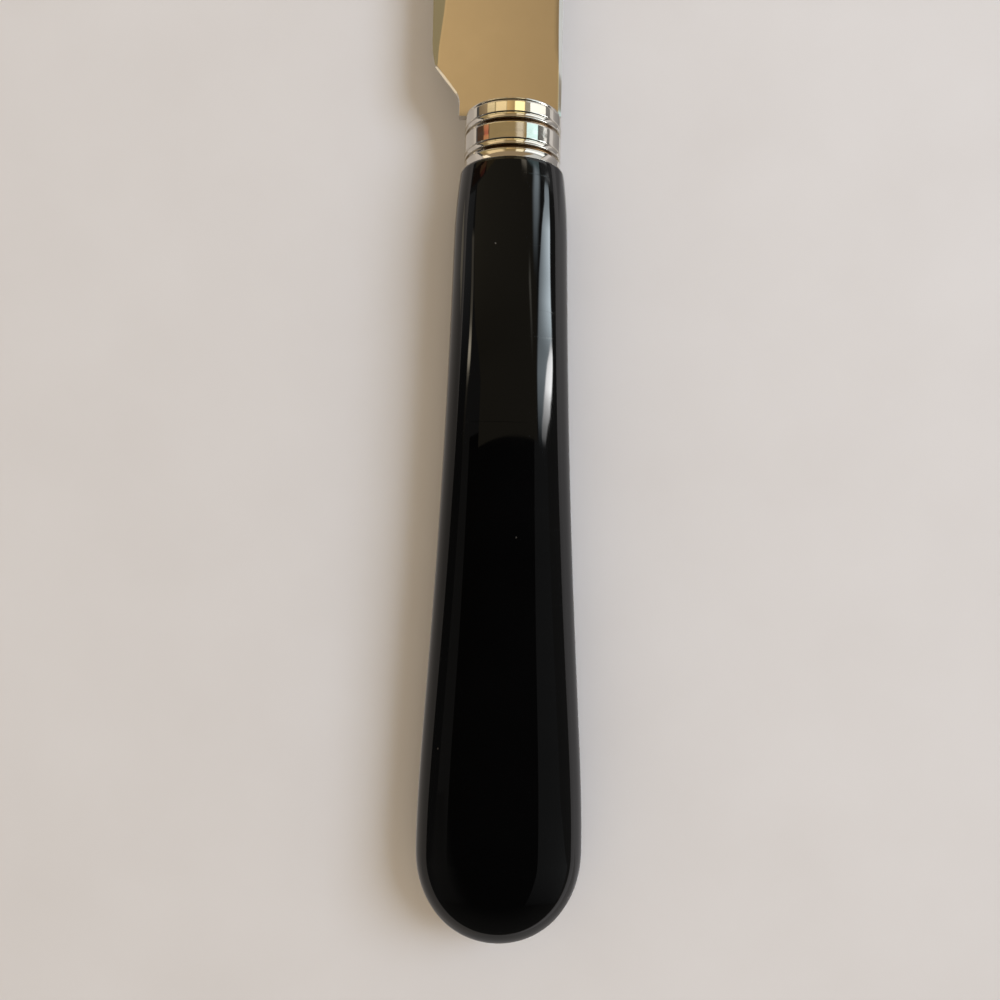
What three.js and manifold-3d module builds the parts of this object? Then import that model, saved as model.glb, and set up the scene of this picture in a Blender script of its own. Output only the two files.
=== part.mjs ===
// Dinner knife lying on its side: steel blade with a stick tang, plated oval ferrule, black acrylic handle.
// Millimetres, +Z up. +Y runs to the blade's tip, -X to the cutting edge and +X to the spine.
import * as THREE from 'three';
import { mergeVertices } from 'three/addons/utils/BufferGeometryUtils.js';
import Module from 'manifold-3d';

const { clamp, lerp } = THREE.MathUtils;
const wasm = await Module();
wasm.setup();

// Clearance left round every piece that is let into another.
const FIT = 0.2;

// Blade, measured from the face of the ferrule: neck, choil, heel, edge and rounded tip.
const BLADE_LENGTH = 120;
const SPINE_REACH = 6.3;
const NECK_REACH = 7.2;
const EDGE_REACH = 10.9;
const CHOIL_CORNER = 2.45;
const CHOIL_ROUND = 1.1;
const HEEL_CORNER = 6.65;
const HEEL_SET_IN = 0.42;
const HEEL_EASE = 3.4;
const BELLY_LENGTH = 30;
const SPINE_DROP_LENGTH = 9;
const TIP_REACH = 1;
const SPINE_THICKNESS = 1.9;
const TIP_THICKNESS = 1.05;
const FLANK_THICKNESS = 0.8;
const EDGE_THICKNESS = 0.35;
const CORNER_CHAMFER = 0.2;
const BEVEL_WIDTH = 2.6;
const BEVEL_RUN = 18;
// The bevel widens from the heel by this power of the distance, so it opens quickly and then slowly.
const BEVEL_SPREAD = 0.6;

// Stick tang below the blade's shoulders, with notches that key it into the cement.
const TANG_WIDTH = 5.2;
const TANG_END_WIDTH = 4.2;
const TANG_THICKNESS = 1.6;
const TANG_ROOT = 1;
const NOTCH_DEPTH = 0.5;
const NOTCH_LENGTH = 2.4;
const NOTCH_COUNT = 3;

// Ferrule, from the blade end down: end plate, cap ring, bead, plain band, bead and foot ring.
const END_PLATE_THICKNESS = 0.42;
const END_PLATE_STEP = 0.12;
const FERRULE_WIDTH = 12.8;
const FERRULE_THICKNESS = 11.4;
const FERRULE_WALL = 0.45;
const CAP_LENGTH = 1.48;
const FINE_GROOVE_LENGTH = 0.14;
const FINE_GROOVE_DEPTH = 0.16;
const BEAD_LENGTH = 0.57;
const GROOVE_LENGTH = 0.4;
const GROOVE_DEPTH = 0.35;
const BAND_LENGTH = 2.23;
const FOOT_LENGTH = 1.3;
const FOOT_FLARE = 0.3;
const RING_ROUND = 0.12;

// Cement: the sleeve inside the ferrule, the cover round the tang and the cover below its end.
const CEMENT_SLEEVE = 0.4;
const TANG_COVER = 0.7;
const TANG_END_COVER = 2;

// Handle, from its shoulder under the ferrule to the rounded butt. Its oval is flattened on both broad sides.
const HANDLE_LENGTH = 101.5;
const HANDLE_THICKNESS = 12.6;
const SIDE_FLAT = 0.3;
const GRIP_WIDTH = 14.74;
const BUTT_WIDTH = 22;
const BUTT_ROUND = 12.2;
const BUTT_SOLID = 23;
const SHOULDER_DRAW = 0.52;
const SHOULDER_RUN = 9;
const SHOULDER_EDGE = 0.35;
// The grip swells between these two shares of its run, and leans out by the third before it does.
const SWELL_FROM = 0.62;
const SWELL_TO = 0.83;
const SWELL_LEAN = 0.26;

// Facets round an oval and points along a curve. The ovals have a facet, not a corner, at their lowest place.
// The grip's rings crowd by a power towards the ferrule, where the grip is drawn in.
const OVAL_SIDES = 32;
const CURVE_STEPS = 8;
const GRIP_STEPS = 12;
const GRIP_CROWDING = 1.6;
const ARC_STEPS = 3;

const point = (x, y, z) => new THREE.Vector3(x, y, z);

// Oval of facets that touch the true oval at their middles, at a height y on the knife's axis.
function oval(y, halfWidth, halfThickness) {
  const outside = 1 / Math.cos(Math.PI / OVAL_SIDES);
  return Array.from({ length: OVAL_SIDES }, (_, side) => {
    const angle = (2 * Math.PI * (side + 0.5)) / OVAL_SIDES;
    return point(halfWidth * outside * Math.sin(angle), y, halfThickness * outside * Math.cos(angle));
  });
}

// Closed skin over rings of points that run towards the butt, from a pole at one end to a pole at the other.
function skin(firstPole, rings, lastPole) {
  const sides = rings[0].length;
  const points = [firstPole, ...rings.flat(), lastPole];
  const at = (ring, side) => 1 + ring * sides + (side % sides);
  const end = rings.length - 1;
  const triangles = [];
  for (let side = 0; side < sides; side++) {
    triangles.push(0, at(0, side), at(0, side + 1));
    for (let ring = 0; ring < end; ring++) {
      triangles.push(at(ring, side), at(ring + 1, side), at(ring + 1, side + 1));
      triangles.push(at(ring, side), at(ring + 1, side + 1), at(ring, side + 1));
    }
    triangles.push(points.length - 1, at(end, side + 1), at(end, side));
  }
  const geometry = new THREE.BufferGeometry().setFromPoints(points);
  geometry.setIndex(triangles);
  return geometry;
}

// Closed geometry to solid, and back.
function solid(geometry) {
  const bare = geometry.clone();
  bare.deleteAttribute('normal');
  bare.deleteAttribute('uv');
  const merged = mergeVertices(bare, 1e-4);
  return new wasm.Manifold(new wasm.Mesh({
    numProp: 3,
    vertProperties: Float32Array.from(merged.attributes.position.array),
    triVerts: Uint32Array.from(merged.index.array),
  }));
}

function geometryOf(body) {
  const mesh = body.getMesh();
  const geometry = new THREE.BufferGeometry();
  geometry.setAttribute('position', new THREE.BufferAttribute(mesh.vertProperties, 3));
  geometry.setIndex(new THREE.BufferAttribute(mesh.triVerts, 1));
  geometry.computeVertexNormals();
  return geometry;
}

// Extrusion of a flat outline drawn in X and Z, upwards along the knife's axis from y to y + length.
function standing(shape, y, length) {
  const options = { depth: length, bevelEnabled: false, curveSegments: CURVE_STEPS };
  const geometry = new THREE.ExtrudeGeometry(shape, options);
  geometry.rotateX(-Math.PI / 2);
  geometry.translate(0, y, 0);
  return geometry;
}

// Extrusion of a flat outline drawn in X and Y, centred on the knife's middle plane.
function flat(shape, thickness) {
  const geometry = new THREE.ExtrudeGeometry(shape, { depth: thickness, bevelEnabled: false });
  geometry.translate(0, 0, -thickness / 2);
  return geometry;
}

// Heights of the joints along the knife's axis, with the blade's shoulders at zero.
const beadGroup = FINE_GROOVE_LENGTH + BEAD_LENGTH + GROOVE_LENGTH;
const shellLength = CAP_LENGTH + beadGroup + BAND_LENGTH + beadGroup + FOOT_LENGTH;
const shellTop = -END_PLATE_THICKNESS;
const shoulder = shellTop - shellLength;
const buttEnd = shoulder - HANDLE_LENGTH;
const buttCentre = buttEnd + BUTT_ROUND;
const slotEnd = buttEnd + BUTT_SOLID;
const cementEnd = slotEnd + FIT;
const tangEnd = cementEnd + TANG_END_COVER + FIT;
const spigotEnd = shellTop - FIT;

// Cutting edge as seen from the side: neck, rounded choil, slope to the heel, straight edge and belly.
function edgeLine() {
  const choil = new THREE.Vector2(-NECK_REACH, CHOIL_CORNER);
  const heel = new THREE.Vector2(HEEL_SET_IN - EDGE_REACH, HEEL_CORNER);
  const eased = HEEL_CORNER + HEEL_EASE;
  const slope = heel.clone().sub(choil).normalize();
  const afterChoil = choil.clone().addScaledVector(slope, CHOIL_ROUND);
  const bellyStart = BLADE_LENGTH - BELLY_LENGTH;
  const line = new THREE.Path();
  line.moveTo(-NECK_REACH, 0);
  line.lineTo(-NECK_REACH, CHOIL_CORNER - CHOIL_ROUND);
  line.quadraticCurveTo(choil.x, choil.y, afterChoil.x, afterChoil.y);
  line.lineTo(heel.x, heel.y);
  line.quadraticCurveTo(-EDGE_REACH, eased - HEEL_EASE / 2, -EDGE_REACH, eased);
  line.lineTo(-EDGE_REACH, HEEL_CORNER + BEVEL_RUN);
  line.absellipse(TIP_REACH, bellyStart, TIP_REACH + EDGE_REACH, BELLY_LENGTH, Math.PI, Math.PI / 2, true);
  return line.getPoints(CURVE_STEPS);
}

// Spine as seen from the side: straight, then a quarter oval down to the tip.
function spineAt(y) {
  const past = Math.max(0, (y - BLADE_LENGTH + SPINE_DROP_LENGTH) / SPINE_DROP_LENGTH);
  return TIP_REACH + (SPINE_REACH - TIP_REACH) * Math.sqrt(Math.max(0, 1 - past * past));
}

// The blade's two sides are flat planes that close towards the tip and towards the edge.
function thicknessAt(x, y) {
  const towardsTip = (SPINE_THICKNESS - TIP_THICKNESS) / BLADE_LENGTH;
  const towardsEdge = (SPINE_THICKNESS - FLANK_THICKNESS) / (SPINE_REACH + EDGE_REACH);
  return SPINE_THICKNESS - towardsTip * y - towardsEdge * (SPINE_REACH - x);
}

// Section of the blade: bevelled edge, flat sides and a spine with its corners taken off.
function bladeSection({ x: edge, y }) {
  const spine = spineAt(y);
  const width = spine - edge;
  const opening = clamp((y - HEEL_CORNER) / BEVEL_RUN, 0, 1) ** BEVEL_SPREAD;
  const chamfer = Math.min(CORNER_CHAMFER, width / 4);
  const bevel = Math.min(CORNER_CHAMFER + (BEVEL_WIDTH - CORNER_CHAMFER) * opening, width / 2);
  const blunt = thicknessAt(edge, y) - 2 * CORNER_CHAMFER;
  const sharpened = clamp((y - HEEL_CORNER) / HEEL_EASE, 0, 1);
  const side = [
    [edge, lerp(blunt, EDGE_THICKNESS, sharpened)],
    [edge + bevel, thicknessAt(edge + bevel, y)],
    [spine - chamfer, thicknessAt(spine - chamfer, y)],
    [spine, thicknessAt(spine, y) - 2 * chamfer],
  ];
  const upper = side.map(([x, thickness]) => point(x, y, thickness / 2));
  const lower = side.map(([x, thickness]) => point(x, y, -thickness / 2));
  return [...upper, ...lower.reverse()];
}

// Tang outline with a margin all round, so that its slot is drawn by the same lines.
function tangOutline(margin) {
  const halfAt = (y) => margin + lerp(TANG_WIDTH, TANG_END_WIDTH, y / tangEnd) / 2;
  const right = [new THREE.Vector2(TANG_WIDTH / 2 + margin, TANG_ROOT)];
  for (let notch = 0; notch < NOTCH_COUNT; notch++) {
    const y = (tangEnd * (notch + 2)) / (NOTCH_COUNT + 2);
    right.push(new THREE.Vector2(halfAt(y), y));
    right.push(new THREE.Vector2(halfAt(y) - NOTCH_DEPTH, y - NOTCH_LENGTH / 2));
    right.push(new THREE.Vector2(halfAt(y - NOTCH_LENGTH), y - NOTCH_LENGTH));
  }
  right.push(new THREE.Vector2(margin + TANG_END_WIDTH / 2, tangEnd - margin));
  const left = right.map(({ x, y }) => new THREE.Vector2(-x, y)).reverse();
  return new THREE.Shape([...right, ...left]);
}

function makeBlade() {
  const [tip, ...stations] = edgeLine().reverse();
  const blade = skin(point(tip.x, tip.y, 0), stations.map(bladeSection), point(0, 0, 0));
  return geometryOf(solid(blade).add(solid(flat(tangOutline(0), TANG_THICKNESS))));
}

// Ferrule end plate, with the slot that the tang passes through.
function makeEndPlate() {
  const halfThickness = FERRULE_THICKNESS / 2 - END_PLATE_STEP;
  const halfWidth = FERRULE_WIDTH / 2 - END_PLATE_STEP;
  const plate = new THREE.Shape(oval(0, halfWidth, halfThickness).map(({ x, z }) => new THREE.Vector2(x, z)));
  const slotX = TANG_WIDTH / 2 + FIT;
  const slotZ = TANG_THICKNESS / 2 + FIT;
  plate.holes.push(new THREE.Path([
    new THREE.Vector2(-slotX, -slotZ),
    new THREE.Vector2(slotX, -slotZ),
    new THREE.Vector2(slotX, slotZ),
    new THREE.Vector2(-slotX, slotZ),
  ]));
  return standing(plate, -END_PLATE_THICKNESS, END_PLATE_THICKNESS);
}

// Ferrule sleeve: its profile is turned round the knife's axis, then stretched across the width to the oval.
const ferruleStretch = FERRULE_WIDTH / FERRULE_THICKNESS;
const sleeveBore = FERRULE_THICKNESS / 2 - GROOVE_DEPTH - FERRULE_WALL;

// One raised ring of the profile, with its two corners eased.
function raisedRing(profile, top, length, radius, rise = 0) {
  profile.push(new THREE.Vector2(radius - RING_ROUND, top));
  profile.push(new THREE.Vector2(radius, top - RING_ROUND));
  profile.push(new THREE.Vector2(radius + rise, top - length + RING_ROUND));
  profile.push(new THREE.Vector2(radius + rise - RING_ROUND, top - length));
  return top - length;
}

// A flat-bottomed groove between two rings.
function groove(profile, top, length, radius) {
  profile.push(new THREE.Vector2(radius, top));
  profile.push(new THREE.Vector2(radius, top - length));
  return top - length;
}

function turned(profile) {
  const outside = 1 / Math.cos(Math.PI / OVAL_SIDES);
  const spread = profile.map(({ x, y }) => new THREE.Vector2(x * outside, y));
  const geometry = new THREE.LatheGeometry(spread, OVAL_SIDES, Math.PI / OVAL_SIDES);
  geometry.scale(ferruleStretch, 1, 1);
  return geometry;
}

function makeShell() {
  const radius = FERRULE_THICKNESS / 2;
  const profile = [new THREE.Vector2(sleeveBore, shoulder), new THREE.Vector2(sleeveBore, shellTop)];
  let y = raisedRing(profile, shellTop, CAP_LENGTH, radius);
  for (const [length, rise] of [[BAND_LENGTH, 0], [FOOT_LENGTH, FOOT_FLARE]]) {
    y = groove(profile, y, FINE_GROOVE_LENGTH, radius - FINE_GROOVE_DEPTH);
    y = raisedRing(profile, y, BEAD_LENGTH, radius);
    y = groove(profile, y, GROOVE_LENGTH, radius - GROOVE_DEPTH);
    y = raisedRing(profile, y, length, radius, rise);
  }
  profile.push(profile[0].clone());
  return turned(profile.reverse());
}

// Cement sleeve between the ferrule and the handle's spigot.
const cementOuter = sleeveBore - FIT;
const cementInner = cementOuter - CEMENT_SLEEVE;
const spigotRadius = cementInner - FIT;

function makeFerruleCement() {
  const profile = [
    new THREE.Vector2(cementInner, shoulder + FIT),
    new THREE.Vector2(cementOuter, shoulder + FIT),
    new THREE.Vector2(cementOuter, shellTop - FIT),
    new THREE.Vector2(cementInner, shellTop - FIT),
    new THREE.Vector2(cementInner, shoulder + FIT),
  ];
  return turned(profile);
}

// Round-ended section of the cement round the tang, and of its slot in the handle.
function tangSlot(margin) {
  const radius = TANG_THICKNESS / 2 + TANG_COVER + margin;
  const reach = TANG_WIDTH / 2 + TANG_COVER + margin - radius;
  const shape = new THREE.Shape();
  shape.absarc(reach, 0, radius, -Math.PI / 2, Math.PI / 2);
  shape.absarc(-reach, 0, radius, Math.PI / 2, (3 * Math.PI) / 2);
  return shape;
}

function makeTangCement() {
  const filling = standing(tangSlot(0), cementEnd, spigotEnd - cementEnd);
  const tangRoom = flat(tangOutline(FIT), TANG_THICKNESS + 2 * FIT);
  return geometryOf(solid(filling).subtract(solid(tangRoom)));
}

// Outline of the grip as seen from above: slim at the ferrule, swelling to the butt.
const gripLine = new THREE.CubicBezierCurve(
  new THREE.Vector2(shoulder, GRIP_WIDTH / 2),
  new THREE.Vector2(lerp(shoulder, buttCentre, SWELL_FROM), lerp(GRIP_WIDTH, BUTT_WIDTH, SWELL_LEAN) / 2),
  new THREE.Vector2(lerp(shoulder, buttCentre, SWELL_TO), BUTT_WIDTH / 2),
  new THREE.Vector2(buttCentre, BUTT_WIDTH / 2),
);

// Oval of the handle: a fuller oval whose broad sides are cut back to the thickness.
function handleOval(y, halfWidth, halfThickness) {
  const fuller = 1 + (2 * SIDE_FLAT) / HANDLE_THICKNESS;
  const whole = oval(y, halfWidth, halfThickness * fuller);
  return whole.map(({ x, z }) => point(x, y, clamp(z, -halfThickness, halfThickness)));
}

// Ring of the grip, drawn in near the ferrule, with an inset for the eased edge of the shoulder.
function gripRing({ x: y, y: halfWidth }, inset = 0) {
  const narrowing = SHOULDER_DRAW * Math.max(0, 1 - (shoulder - y) / SHOULDER_RUN) ** 2;
  return handleOval(y, halfWidth - narrowing - inset, HANDLE_THICKNESS / 2 - inset);
}

function makeHandle() {
  const rings = [spigotEnd, shoulder].map((y) => oval(y, spigotRadius * ferruleStretch, spigotRadius));
  for (let step = 0; step <= ARC_STEPS; step++) {
    const angle = (Math.PI / 2) * (step / ARC_STEPS);
    const y = shoulder - SHOULDER_EDGE * (1 - Math.cos(angle));
    rings.push(gripRing({ x: y, y: GRIP_WIDTH / 2 }, SHOULDER_EDGE * (1 - Math.sin(angle))));
  }
  for (let step = 1; step <= GRIP_STEPS; step++) {
    rings.push(gripRing(gripLine.getPoint((step / GRIP_STEPS) ** GRIP_CROWDING)));
  }
  for (let step = 1; step < CURVE_STEPS; step++) {
    const angle = (Math.PI / 2) * (step / CURVE_STEPS);
    const y = buttCentre - BUTT_ROUND * Math.sin(angle);
    rings.push(handleOval(y, (BUTT_WIDTH / 2) * Math.cos(angle), (HANDLE_THICKNESS / 2) * Math.cos(angle)));
  }
  const body = skin(point(0, spigotEnd, 0), rings, point(0, buttEnd, 0));
  const slot = standing(tangSlot(FIT), slotEnd, spigotEnd - slotEnd + FIT);
  return geometryOf(solid(body).subtract(solid(slot)));
}

// The knife: its axis at half the handle's thickness, its middle over the origin.
const knife = new THREE.Group();
knife.position.set(0, -(BLADE_LENGTH + buttEnd) / 2, HANDLE_THICKNESS / 2);

function piece(name, geometry, color, roughness, metalness) {
  const mesh = new THREE.Mesh(geometry, new THREE.MeshStandardMaterial({ color, roughness, metalness }));
  mesh.name = name;
  knife.add(mesh);
}

piece('blade', makeBlade(), '#c9c8c4', 0.08, 1);
piece('ferrule_end_plate', makeEndPlate(), '#d8d6d0', 0.12, 1);
piece('ferrule_shell', makeShell(), '#d8d6d0', 0.1, 1);
piece('ferrule_cement', makeFerruleCement(), '#a58f6c', 0.9, 0);
piece('handle', makeHandle(), '#08080a', 0.06, 0);
piece('tang_cement', makeTangCement(), '#a58f6c', 0.9, 0);

const model = new THREE.Group();
model.add(knife);

export default model;
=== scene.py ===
# Dinner knife lying on its side: steel blade with a stick tang, plated oval ferrule, black acrylic handle.
import math

import bmesh
import bpy
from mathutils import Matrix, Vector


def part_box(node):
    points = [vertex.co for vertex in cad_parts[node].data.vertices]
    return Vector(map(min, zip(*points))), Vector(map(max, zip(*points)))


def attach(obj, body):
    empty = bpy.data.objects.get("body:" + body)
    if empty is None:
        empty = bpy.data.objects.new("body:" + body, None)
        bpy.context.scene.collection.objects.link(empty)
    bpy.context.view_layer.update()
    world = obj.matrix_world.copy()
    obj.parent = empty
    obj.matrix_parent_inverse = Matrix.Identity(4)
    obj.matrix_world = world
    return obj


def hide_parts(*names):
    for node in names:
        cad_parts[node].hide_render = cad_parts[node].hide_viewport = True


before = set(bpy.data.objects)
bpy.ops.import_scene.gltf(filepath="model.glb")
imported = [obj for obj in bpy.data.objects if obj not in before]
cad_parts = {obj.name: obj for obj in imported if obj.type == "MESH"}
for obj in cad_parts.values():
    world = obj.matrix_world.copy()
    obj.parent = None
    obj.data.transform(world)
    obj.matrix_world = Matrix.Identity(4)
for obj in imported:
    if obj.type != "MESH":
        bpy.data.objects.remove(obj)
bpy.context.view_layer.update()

# Blade: one piece of stainless steel, forged, ground flat on both sides and mirror polished, with a small
# bevel along the cutting edge and a rounded tip. Its stick tang goes down through the ferrule into the
# handle, where notches key it into the cement. Sizes are in millimetres from the blade's shoulders.
MM = 0.001
BLADE_LENGTH = 120
SPINE_REACH = 6.3
NECK_REACH = 7.2
EDGE_REACH = 10.9
CHOIL_CORNER = 2.45
CHOIL_ROUND = 1.1
HEEL_CORNER = 6.65
HEEL_SET_IN = 0.42
HEEL_EASE = 3.4
BELLY_LENGTH = 30
SPINE_DROP_LENGTH = 9
TIP_REACH = 1
SPINE_THICKNESS = 1.9
TIP_THICKNESS = 1.05
FLANK_THICKNESS = 0.8
EDGE_THICKNESS = 0.35
NECK_CORNER = 0.06
SLOPE_CHAMFER = 0.26
SLOPE_STEEPNESS = 51.5
SPINE_CHAMFER = 0.55
SPINE_LEAN = 25
NECK_CHAMFER = 0.42
NECK_LEAN = 13
SPINE_EASE = 12
BEVEL_WIDTH = 2.6
BEVEL_RUN = 18
BEVEL_SPREAD = 0.7
BEVEL_LEAN = 6
HEEL_TURN = 0.04
FLAT_MARGIN = 0.3
CREST_MARGIN = 0.7
NECK_MARGIN = 0.015
MARGIN_START = 6.6
MARGIN_RUN = 2.5
CREST_TURN = 0.3
NECK_TURN = 0.08
TANG_WIDTH = 5.2
TANG_END_WIDTH = 4.2
TANG_THICKNESS = 1.6
TANG_CORNER = 0.25
NOTCH_DEPTH = 0.5
NOTCH_LENGTH = 2.4
NOTCH_COUNT = 3
SHOULDER_LOOP = 0.25
CHOIL_STEPS = 8
HEEL_STEPS = 12
STRAIGHT_STEPS = 6
BELLY_STEPS = 40
BEVEL_SHARE = 0.4
CHAMFER_SHARE = 0.2
MARGIN_SHARE = 0.1
WELD_DISTANCE = 0.001 * MM

shoulder_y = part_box("ferrule_end_plate")[1].y
axis_z = sum(corner.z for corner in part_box("handle")) / 2
tang_end = (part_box("blade")[0].y - shoulder_y) / MM


def at(x, y, z):
    """A place on the knife, from millimetres off its shoulders and its axis."""
    return (x * MM, shoulder_y + y * MM, axis_z + z * MM)


def mix(start, end, share):
    """The value that lies a share of the way from start to end."""
    return start + (end - start) * share


def bow(start, corner, end, steps):
    """Points of the curve that leaves start and reaches end along the two sides of a corner."""
    points = []
    for step in range(1, steps + 1):
        share = step / steps
        points.append([mix(mix(a, b, share), mix(b, c, share), share) for a, b, c in zip(start, corner, end)])
    return points


def edge_line():
    """The cutting edge seen from the side: neck, choil, slope to the heel, straight edge and belly."""
    choil = (-NECK_REACH, CHOIL_CORNER)
    heel = (HEEL_SET_IN - EDGE_REACH, HEEL_CORNER)
    slope_length = math.dist(choil, heel)
    after_choil = [mix(choil[i], heel[i], CHOIL_ROUND / slope_length) for i in (0, 1)]
    line = [(-NECK_REACH, y) for y in (0, SHOULDER_LOOP, CHOIL_CORNER - CHOIL_ROUND)]
    line += bow(line[-1], choil, after_choil, CHOIL_STEPS)
    line += [[mix(after_choil[i], heel[i], share) for i in (0, 1)] for share in (0.5, 1)]
    line.append((heel[0] - 2 * HEEL_SET_IN / HEEL_EASE * HEEL_TURN, HEEL_CORNER + HEEL_TURN))
    eased = (-EDGE_REACH, HEEL_CORNER + HEEL_EASE)
    line += bow(heel, (-EDGE_REACH, HEEL_CORNER + HEEL_EASE / 2), eased, HEEL_STEPS)
    belly_start = BLADE_LENGTH - BELLY_LENGTH
    straight = [HEEL_CORNER + BEVEL_RUN * share for share in (0.25, 0.4, 0.55, 0.7, 0.85, 1)]
    bevel_end = straight[-1]
    for step in range(1, STRAIGHT_STEPS + 1):
        straight.append(mix(bevel_end, belly_start, step / STRAIGHT_STEPS))
    line += [(-EDGE_REACH, y) for y in straight]
    for step in range(1, BELLY_STEPS):
        turn = math.pi / 2 * (step / BELLY_STEPS)
        belly_x = TIP_REACH - (TIP_REACH + EDGE_REACH) * math.cos(turn)
        line.append((belly_x, belly_start + BELLY_LENGTH * math.sin(turn)))
    return line


def blade_section(edge, y):
    """Points round the blade, from the cutting edge over the upper side to the spine and back below."""
    past = max(0, (y - BLADE_LENGTH + SPINE_DROP_LENGTH) / SPINE_DROP_LENGTH)
    spine = TIP_REACH + (SPINE_REACH - TIP_REACH) * math.sqrt(max(0, 1 - past * past))
    width = spine - edge

    def half(x):
        to_tip = (SPINE_THICKNESS - TIP_THICKNESS) / BLADE_LENGTH
        to_edge = (SPINE_THICKNESS - FLANK_THICKNESS) / (SPINE_REACH + EDGE_REACH)
        return (SPINE_THICKNESS - to_tip * y - to_edge * (SPINE_REACH - x)) / 2

    past_choil = min(1, max(0, (y - CHOIL_CORNER + CHOIL_ROUND) / (2 * CHOIL_ROUND)))
    past_heel = min(1, max(0, (y - HEEL_CORNER) / BEVEL_RUN)) ** BEVEL_SPREAD
    chamfer = mix(NECK_CORNER, SLOPE_CHAMFER, past_choil)
    bevel = min(mix(chamfer, BEVEL_WIDTH, past_heel), width * BEVEL_SHARE)
    grind = edge + bevel
    slope_half = half(grind) - chamfer * math.tan(math.radians(SLOPE_STEEPNESS))
    bevel_half = max(EDGE_THICKNESS / 2, half(grind) - bevel * math.tan(math.radians(BEVEL_LEAN)))
    edge_half = mix(slope_half, bevel_half, min(1, max(0, (y - HEEL_CORNER) / HEEL_TURN)))
    side = [(mix(edge, grind, share), mix(edge_half, half(grind), share)) for share in (0, 0.33, 0.67)]
    past_neck = min(1, max(0, y / SPINE_EASE)) ** 2
    spine_chamfer = min(mix(NECK_CHAMFER, SPINE_CHAMFER, past_neck), width * CHAMFER_SHARE)
    spine_fall = spine_chamfer * math.tan(math.radians(mix(NECK_LEAN, SPINE_LEAN, past_neck)))
    crest = spine - spine_chamfer
    margin_share = min(1, max(0, (y - MARGIN_START) / MARGIN_RUN))
    crest_margin = min(mix(NECK_MARGIN, CREST_MARGIN, margin_share), width * MARGIN_SHARE)
    flat_margin = min(FLAT_MARGIN, width * MARGIN_SHARE)
    flat = (grind, grind + flat_margin, mix(grind, spine, 0.5), crest - crest_margin, crest)
    side += [(x, half(x)) for x in flat]
    turned = mix(NECK_TURN, CREST_TURN, past_neck)
    for share, fall in ((0.03, 0.01), (turned, turned - 0.02), (0.6, 0.58), (0.85, 0.84), (1, 1)):
        x = crest + spine_chamfer * share
        side.append((x, half(crest) - spine_fall * fall))
    return [at(x, y, z) for x, z in side] + [at(x, y, -z) for x, z in reversed(side)]


def tang_section(half_width, y):
    """Points round the tang, as many as round the blade and in the same order."""
    corner = half_width - TANG_CORNER
    high = TANG_THICKNESS / 2
    low = high - TANG_CORNER
    side = [(-half_width, low), (-corner, high)]
    side += [(mix(-corner, corner, step / 10), high) for step in range(1, 10)]
    side += [(corner, high), (half_width, low)]
    return [at(x, y, z) for x, z in side] + [at(x, y, -z) for x, z in reversed(side)]


def first_ring(name, points):
    """A new piece in edit mode, begun as a circle whose points are drawn out to a section."""
    bpy.ops.object.select_all(action="DESELECT")
    bpy.ops.mesh.primitive_circle_add(vertices=len(points))
    piece = bpy.context.object
    piece.name = piece.data.name = name
    bpy.ops.object.mode_set(mode="EDIT")
    mesh = bmesh.from_edit_mesh(piece.data)
    place = mesh.verts.layers.int.new("place")
    for number, vertex in enumerate(mesh.verts):
        vertex[place] = number
    set_ring(piece, points)
    return piece


def set_ring(piece, points):
    """Moves the selected ring's points to a section of the piece."""
    mesh = bmesh.from_edit_mesh(piece.data)
    place = mesh.verts.layers.int["place"]
    for vertex in mesh.verts:
        if vertex.select:
            vertex.co = points[vertex[place]]
    bmesh.update_edit_mesh(piece.data)


def close_and_smooth(piece, angle):
    """Fills the ends that are still open, turns every face outwards and smooths all but the sharp corners."""
    bpy.ops.mesh.select_all(action="SELECT")
    bpy.ops.mesh.remove_doubles(threshold=WELD_DISTANCE)
    bpy.ops.mesh.select_all(action="DESELECT")
    bpy.ops.mesh.select_non_manifold(
        use_wire=False, use_multi_face=False, use_non_contiguous=False, use_verts=False)
    bpy.ops.mesh.edge_face_add()
    bpy.ops.mesh.select_all(action="SELECT")
    bpy.ops.mesh.normals_make_consistent(inside=False)
    bpy.ops.object.mode_set(mode="OBJECT")
    bpy.ops.object.shade_smooth_by_angle(angle=math.radians(angle))


tang_stations = [(TANG_END_WIDTH / 2, tang_end)]
for notch in reversed(range(NOTCH_COUNT)):
    notch_y = tang_end * (notch + 2) / (NOTCH_COUNT + 2)
    for drop, depth in ((1, 0), (0.5, NOTCH_DEPTH), (0, 0)):
        y = notch_y - NOTCH_LENGTH * drop
        tang_stations.append((mix(TANG_WIDTH, TANG_END_WIDTH, y / tang_end) / 2 - depth, y))
tang_stations.append((TANG_WIDTH / 2, 0))

blade = first_ring("blade_forging", tang_section(*tang_stations[0]))
for station in tang_stations[1:]:
    bpy.ops.mesh.extrude_region_move()
    set_ring(blade, tang_section(*station))
for station in edge_line():
    bpy.ops.mesh.extrude_region_move()
    set_ring(blade, blade_section(*station))
bpy.ops.mesh.extrude_region_move()
set_ring(blade, [at(TIP_REACH, BLADE_LENGTH, 0)] * len(blade_section(*station)))
close_and_smooth(blade, angle=32)


def colour(hex_code):
    """An sRGB hex value as a linear colour."""
    shares = [int(hex_code[i:i + 2], 16) / 255 for i in (1, 3, 5)]
    return (*[s / 12.92 if s <= 0.04045 else ((s + 0.055) / 1.055) ** 2.4 for s in shares], 1)


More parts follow.
